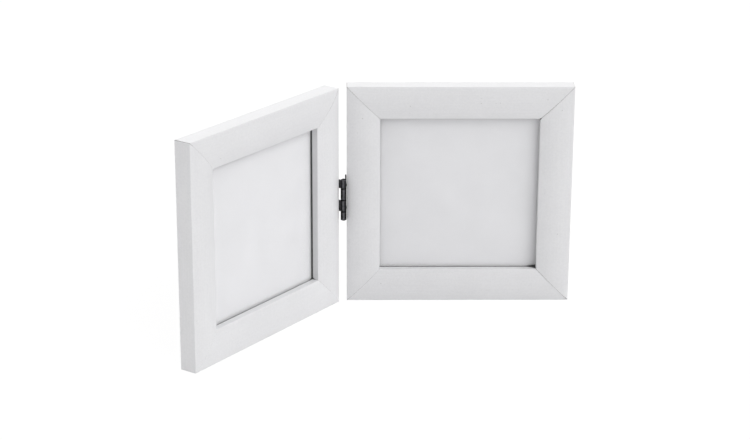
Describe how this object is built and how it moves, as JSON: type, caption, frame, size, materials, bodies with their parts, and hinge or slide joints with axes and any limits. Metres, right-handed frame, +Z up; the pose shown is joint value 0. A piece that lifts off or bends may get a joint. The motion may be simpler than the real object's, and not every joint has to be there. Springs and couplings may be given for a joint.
{
  "type": "folding double photo frame",
  "caption": "Pair of square white mitred photo frames joined by a small side hinge, which stand open like a book and fold face to face, with backs held in by turn buttons.",
  "frame": {"origin": "middle of the footprint's bounding box, on the surface that the frames stand on", "axes": "+Z up, +X along the right frame's width from the hinge outwards, its front facing -Y"},
  "size_m": [0.2708, 0.1468, 0.16],
  "materials": {
    "white_paint": "white satin paint on wood",
    "clear_glass": "clear",
    "bare_card": "smooth matt card",
    "grey_card": "plain grey board",
    "fibre_board": "raw fibre board",
    "nail_steel": "bright sheet steel",
    "zinc_steel": "zinc plated",
    "dark_steel": "dark antique plating"
  },
  "bodies": {
    "right_frame": {"hinge_pin": "dark_steel", "hinge_right_leaf": "dark_steel", "right_backing_board": "fibre_board", "right_bottom_hinge_corner_nail": "nail_steel", "right_bottom_outer_corner_nail": "nail_steel", "right_bottom_rail": "white_paint", "right_bottom_rail_turn_button_screw": "zinc_steel", "right_hinge_stile": "white_paint", "right_hinge_stile_turn_button_screw": "zinc_steel", "right_insert_card": "bare_card", "right_leaf_lower_screw": "dark_steel", "right_leaf_upper_screw": "dark_steel", "right_outer_stile": "white_paint", "right_outer_stile_turn_button_screw": "zinc_steel", "right_packing_card": "grey_card", "right_pane": "clear_glass", "right_top_hinge_corner_nail": "nail_steel", "right_top_outer_corner_nail": "nail_steel", "right_top_rail": "white_paint", "right_top_rail_turn_button_screw": "zinc_steel"},
    "left_frame": {"hinge_left_leaf": "dark_steel", "left_backing_board": "fibre_board", "left_bottom_hinge_corner_nail": "nail_steel", "left_bottom_outer_corner_nail": "nail_steel", "left_bottom_rail": "white_paint", "left_bottom_rail_turn_button_screw": "zinc_steel", "left_hinge_stile": "white_paint", "left_hinge_stile_turn_button_screw": "zinc_steel", "left_insert_card": "bare_card", "left_leaf_lower_screw": "dark_steel", "left_leaf_upper_screw": "dark_steel", "left_outer_stile": "white_paint", "left_outer_stile_turn_button_screw": "zinc_steel", "left_packing_card": "grey_card", "left_pane": "clear_glass", "left_top_hinge_corner_nail": "nail_steel", "left_top_outer_corner_nail": "nail_steel", "left_top_rail": "white_paint", "left_top_rail_turn_button_screw": "zinc_steel"},
    "right_bottom_rail_turn_button": {"right_bottom_rail_turn_button": "zinc_steel"},
    "right_outer_stile_turn_button": {"right_outer_stile_turn_button": "zinc_steel"},
    "right_top_rail_turn_button": {"right_top_rail_turn_button": "zinc_steel"},
    "right_hinge_stile_turn_button": {"right_hinge_stile_turn_button": "zinc_steel"},
    "left_bottom_rail_turn_button": {"left_bottom_rail_turn_button": "zinc_steel"},
    "left_outer_stile_turn_button": {"left_outer_stile_turn_button": "zinc_steel"},
    "left_top_rail_turn_button": {"left_top_rail_turn_button": "zinc_steel"},
    "left_hinge_stile_turn_button": {"left_hinge_stile_turn_button": "zinc_steel"}
  },
  "joints": [
    {"name": "fold", "type": "hinge", "parent": "right_frame", "child": "left_frame", "pos_m": [-0.02689, 0.05558, 0.0777], "axis": [0, 0, 1], "range_deg": [-60, 126.4]},
    {"name": "right_bottom_rail_button_turn", "type": "hinge", "parent": "right_frame", "child": "right_bottom_rail_turn_button", "pos_m": [0.05536, 0.07098, 0.0135], "axis": [0, 1, 0], "continuous": true},
    {"name": "right_outer_stile_button_turn", "type": "hinge", "parent": "right_frame", "child": "right_outer_stile_turn_button", "pos_m": [0.12186, 0.07098, 0.08], "axis": [0, 1, 0], "continuous": true},
    {"name": "right_top_rail_button_turn", "type": "hinge", "parent": "right_frame", "child": "right_top_rail_turn_button", "pos_m": [0.05536, 0.07098, 0.1465], "axis": [0, 1, 0], "continuous": true},
    {"name": "right_hinge_stile_button_turn", "type": "hinge", "parent": "right_frame", "child": "right_hinge_stile_turn_button", "pos_m": [-0.01114, 0.07098, 0.08], "axis": [0, 1, 0], "continuous": true},
    {"name": "left_bottom_rail_button_turn", "type": "hinge", "parent": "left_frame", "child": "left_bottom_rail_turn_button", "pos_m": [-0.08809, -0.00148, 0.0135], "axis": [-0.8049, 0.5934, 0], "continuous": true},
    {"name": "left_outer_stile_button_turn", "type": "hinge", "parent": "left_frame", "child": "left_outer_stile_turn_button", "pos_m": [-0.12755, -0.05501, 0.08], "axis": [-0.8049, 0.5934, 0], "continuous": true},
    {"name": "left_top_rail_button_turn", "type": "hinge", "parent": "left_frame", "child": "left_top_rail_turn_button", "pos_m": [-0.08809, -0.00148, 0.1465], "axis": [-0.8049, 0.5934, 0], "continuous": true},
    {"name": "left_hinge_stile_button_turn", "type": "hinge", "parent": "left_frame", "child": "left_hinge_stile_turn_button", "pos_m": [-0.04863, 0.05204, 0.08], "axis": [-0.8049, 0.5934, 0], "continuous": true}
  ]
}
